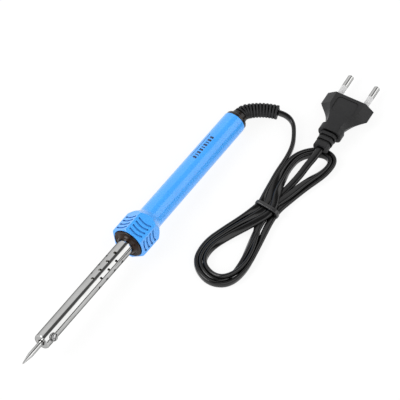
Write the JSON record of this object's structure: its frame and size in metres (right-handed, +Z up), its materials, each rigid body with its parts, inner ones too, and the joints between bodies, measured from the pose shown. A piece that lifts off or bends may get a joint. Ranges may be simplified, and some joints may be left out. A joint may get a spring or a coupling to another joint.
{
  "type": "mains soldering iron",
  "caption": "Mains soldering iron with a glossy guarded handle, pierced plated barrel, pointed tip, and a flat cord bundled in a figure of eight with its moulded plug.",
  "frame": {"origin": "on the surface it lies on, at the middle of the tool's own bounding box, from the tip's point to the rear cap's end, without the cord", "axes": "+X along the tool from the tip towards the cord, +Z up, +Y to the left of someone who looks from the cord end towards +X"},
  "size_m": [0.3161, 0.0854, 0.026],
  "materials": {
    "handle_blue": "glossy injection moulding",
    "bush_brown": "polished dark thermosetting moulding",
    "barrel_nickel": "bright nickel plate on drawn steel",
    "tip_plating": "plated, satin along its length",
    "screw_steel": "zinc plated",
    "inner_steel": "plain",
    "heater_wire": "oxidised resistance wire",
    "mica": "rolled mica sheet",
    "ceramic": "fired ceramic",
    "glass_braid": "glass-fibre braid",
    "crimp_brass": "tinned",
    "cover_clear": "heat-shrink sleeve",
    "core_insulation": "smooth",
    "cap_black": "smooth thermosetting moulding",
    "stop_nylon": "plain",
    "relief_rubber": "satin",
    "cord_rubber": "satin",
    "tie_black": "smooth",
    "plug_black": "satin moulding",
    "pin_nickel": "nickel-plated brass",
    "pin_insulation": "smooth"
  },
  "bodies": {
    "iron": {"handle": "handle_blue", "front_bush": "bush_brown", "barrel": "barrel_nickel", "core_tube": "inner_steel", "clamp_collar": "inner_steel", "barrel_retainer": "inner_steel", "heater_lead_1": "inner_steel", "heater_lead_2": "inner_steel", "heating_coil": "heater_wire", "inner_mica": "mica", "outer_mica": "mica", "heater_bush": "ceramic", "lead_sleeve_1": "glass_braid", "lead_sleeve_2": "glass_braid", "crimp_1": "crimp_brass", "crimp_2": "crimp_brass", "crimp_cover_1": "cover_clear", "crimp_cover_2": "cover_clear", "cord_core_1": "core_insulation", "cord_core_2": "core_insulation", "rear_cap": "cap_black", "cord_stop": "stop_nylon", "bend_relief": "relief_rubber", "cord_inner": "cord_rubber", "cord_lead": "cord_rubber", "cord_hank": "cord_rubber", "cord_tail": "cord_rubber", "hank_tie": "tie_black", "plug_body": "plug_black", "plug_pin_1": "pin_nickel", "plug_pin_2": "pin_nickel", "pin_sleeve_1": "pin_insulation", "pin_sleeve_2": "pin_insulation"},
    "soldering_tip": {"soldering_tip": "tip_plating"},
    "clamp_washer": {"clamp_washer": "screw_steel"},
    "clamp_screw": {"tip_clamp_screw": "screw_steel"}
  },
  "joints": [
    {"name": "tip_slide", "type": "slide", "parent": "iron", "child": "soldering_tip", "axis": [-0.999, 0, 0.045], "range_m": [0, 0.0495]},
    {"name": "washer_slide", "type": "slide", "parent": "iron", "child": "clamp_washer", "axis": [0.0225, -0.866, 0.4995], "range_m": [0, 0.003]},
    {"name": "screw_turn", "type": "hinge", "parent": "clamp_washer", "child": "clamp_screw", "pos_m": [-0.0954, 0, 0.01748], "axis": [0.0225, -0.866, 0.4995], "range_deg": [0, 2160]}
  ],
  "couplings": [
    {"joint": "screw_turn", "follows": "washer_slide", "rad_per_m": 12566}
  ]
}
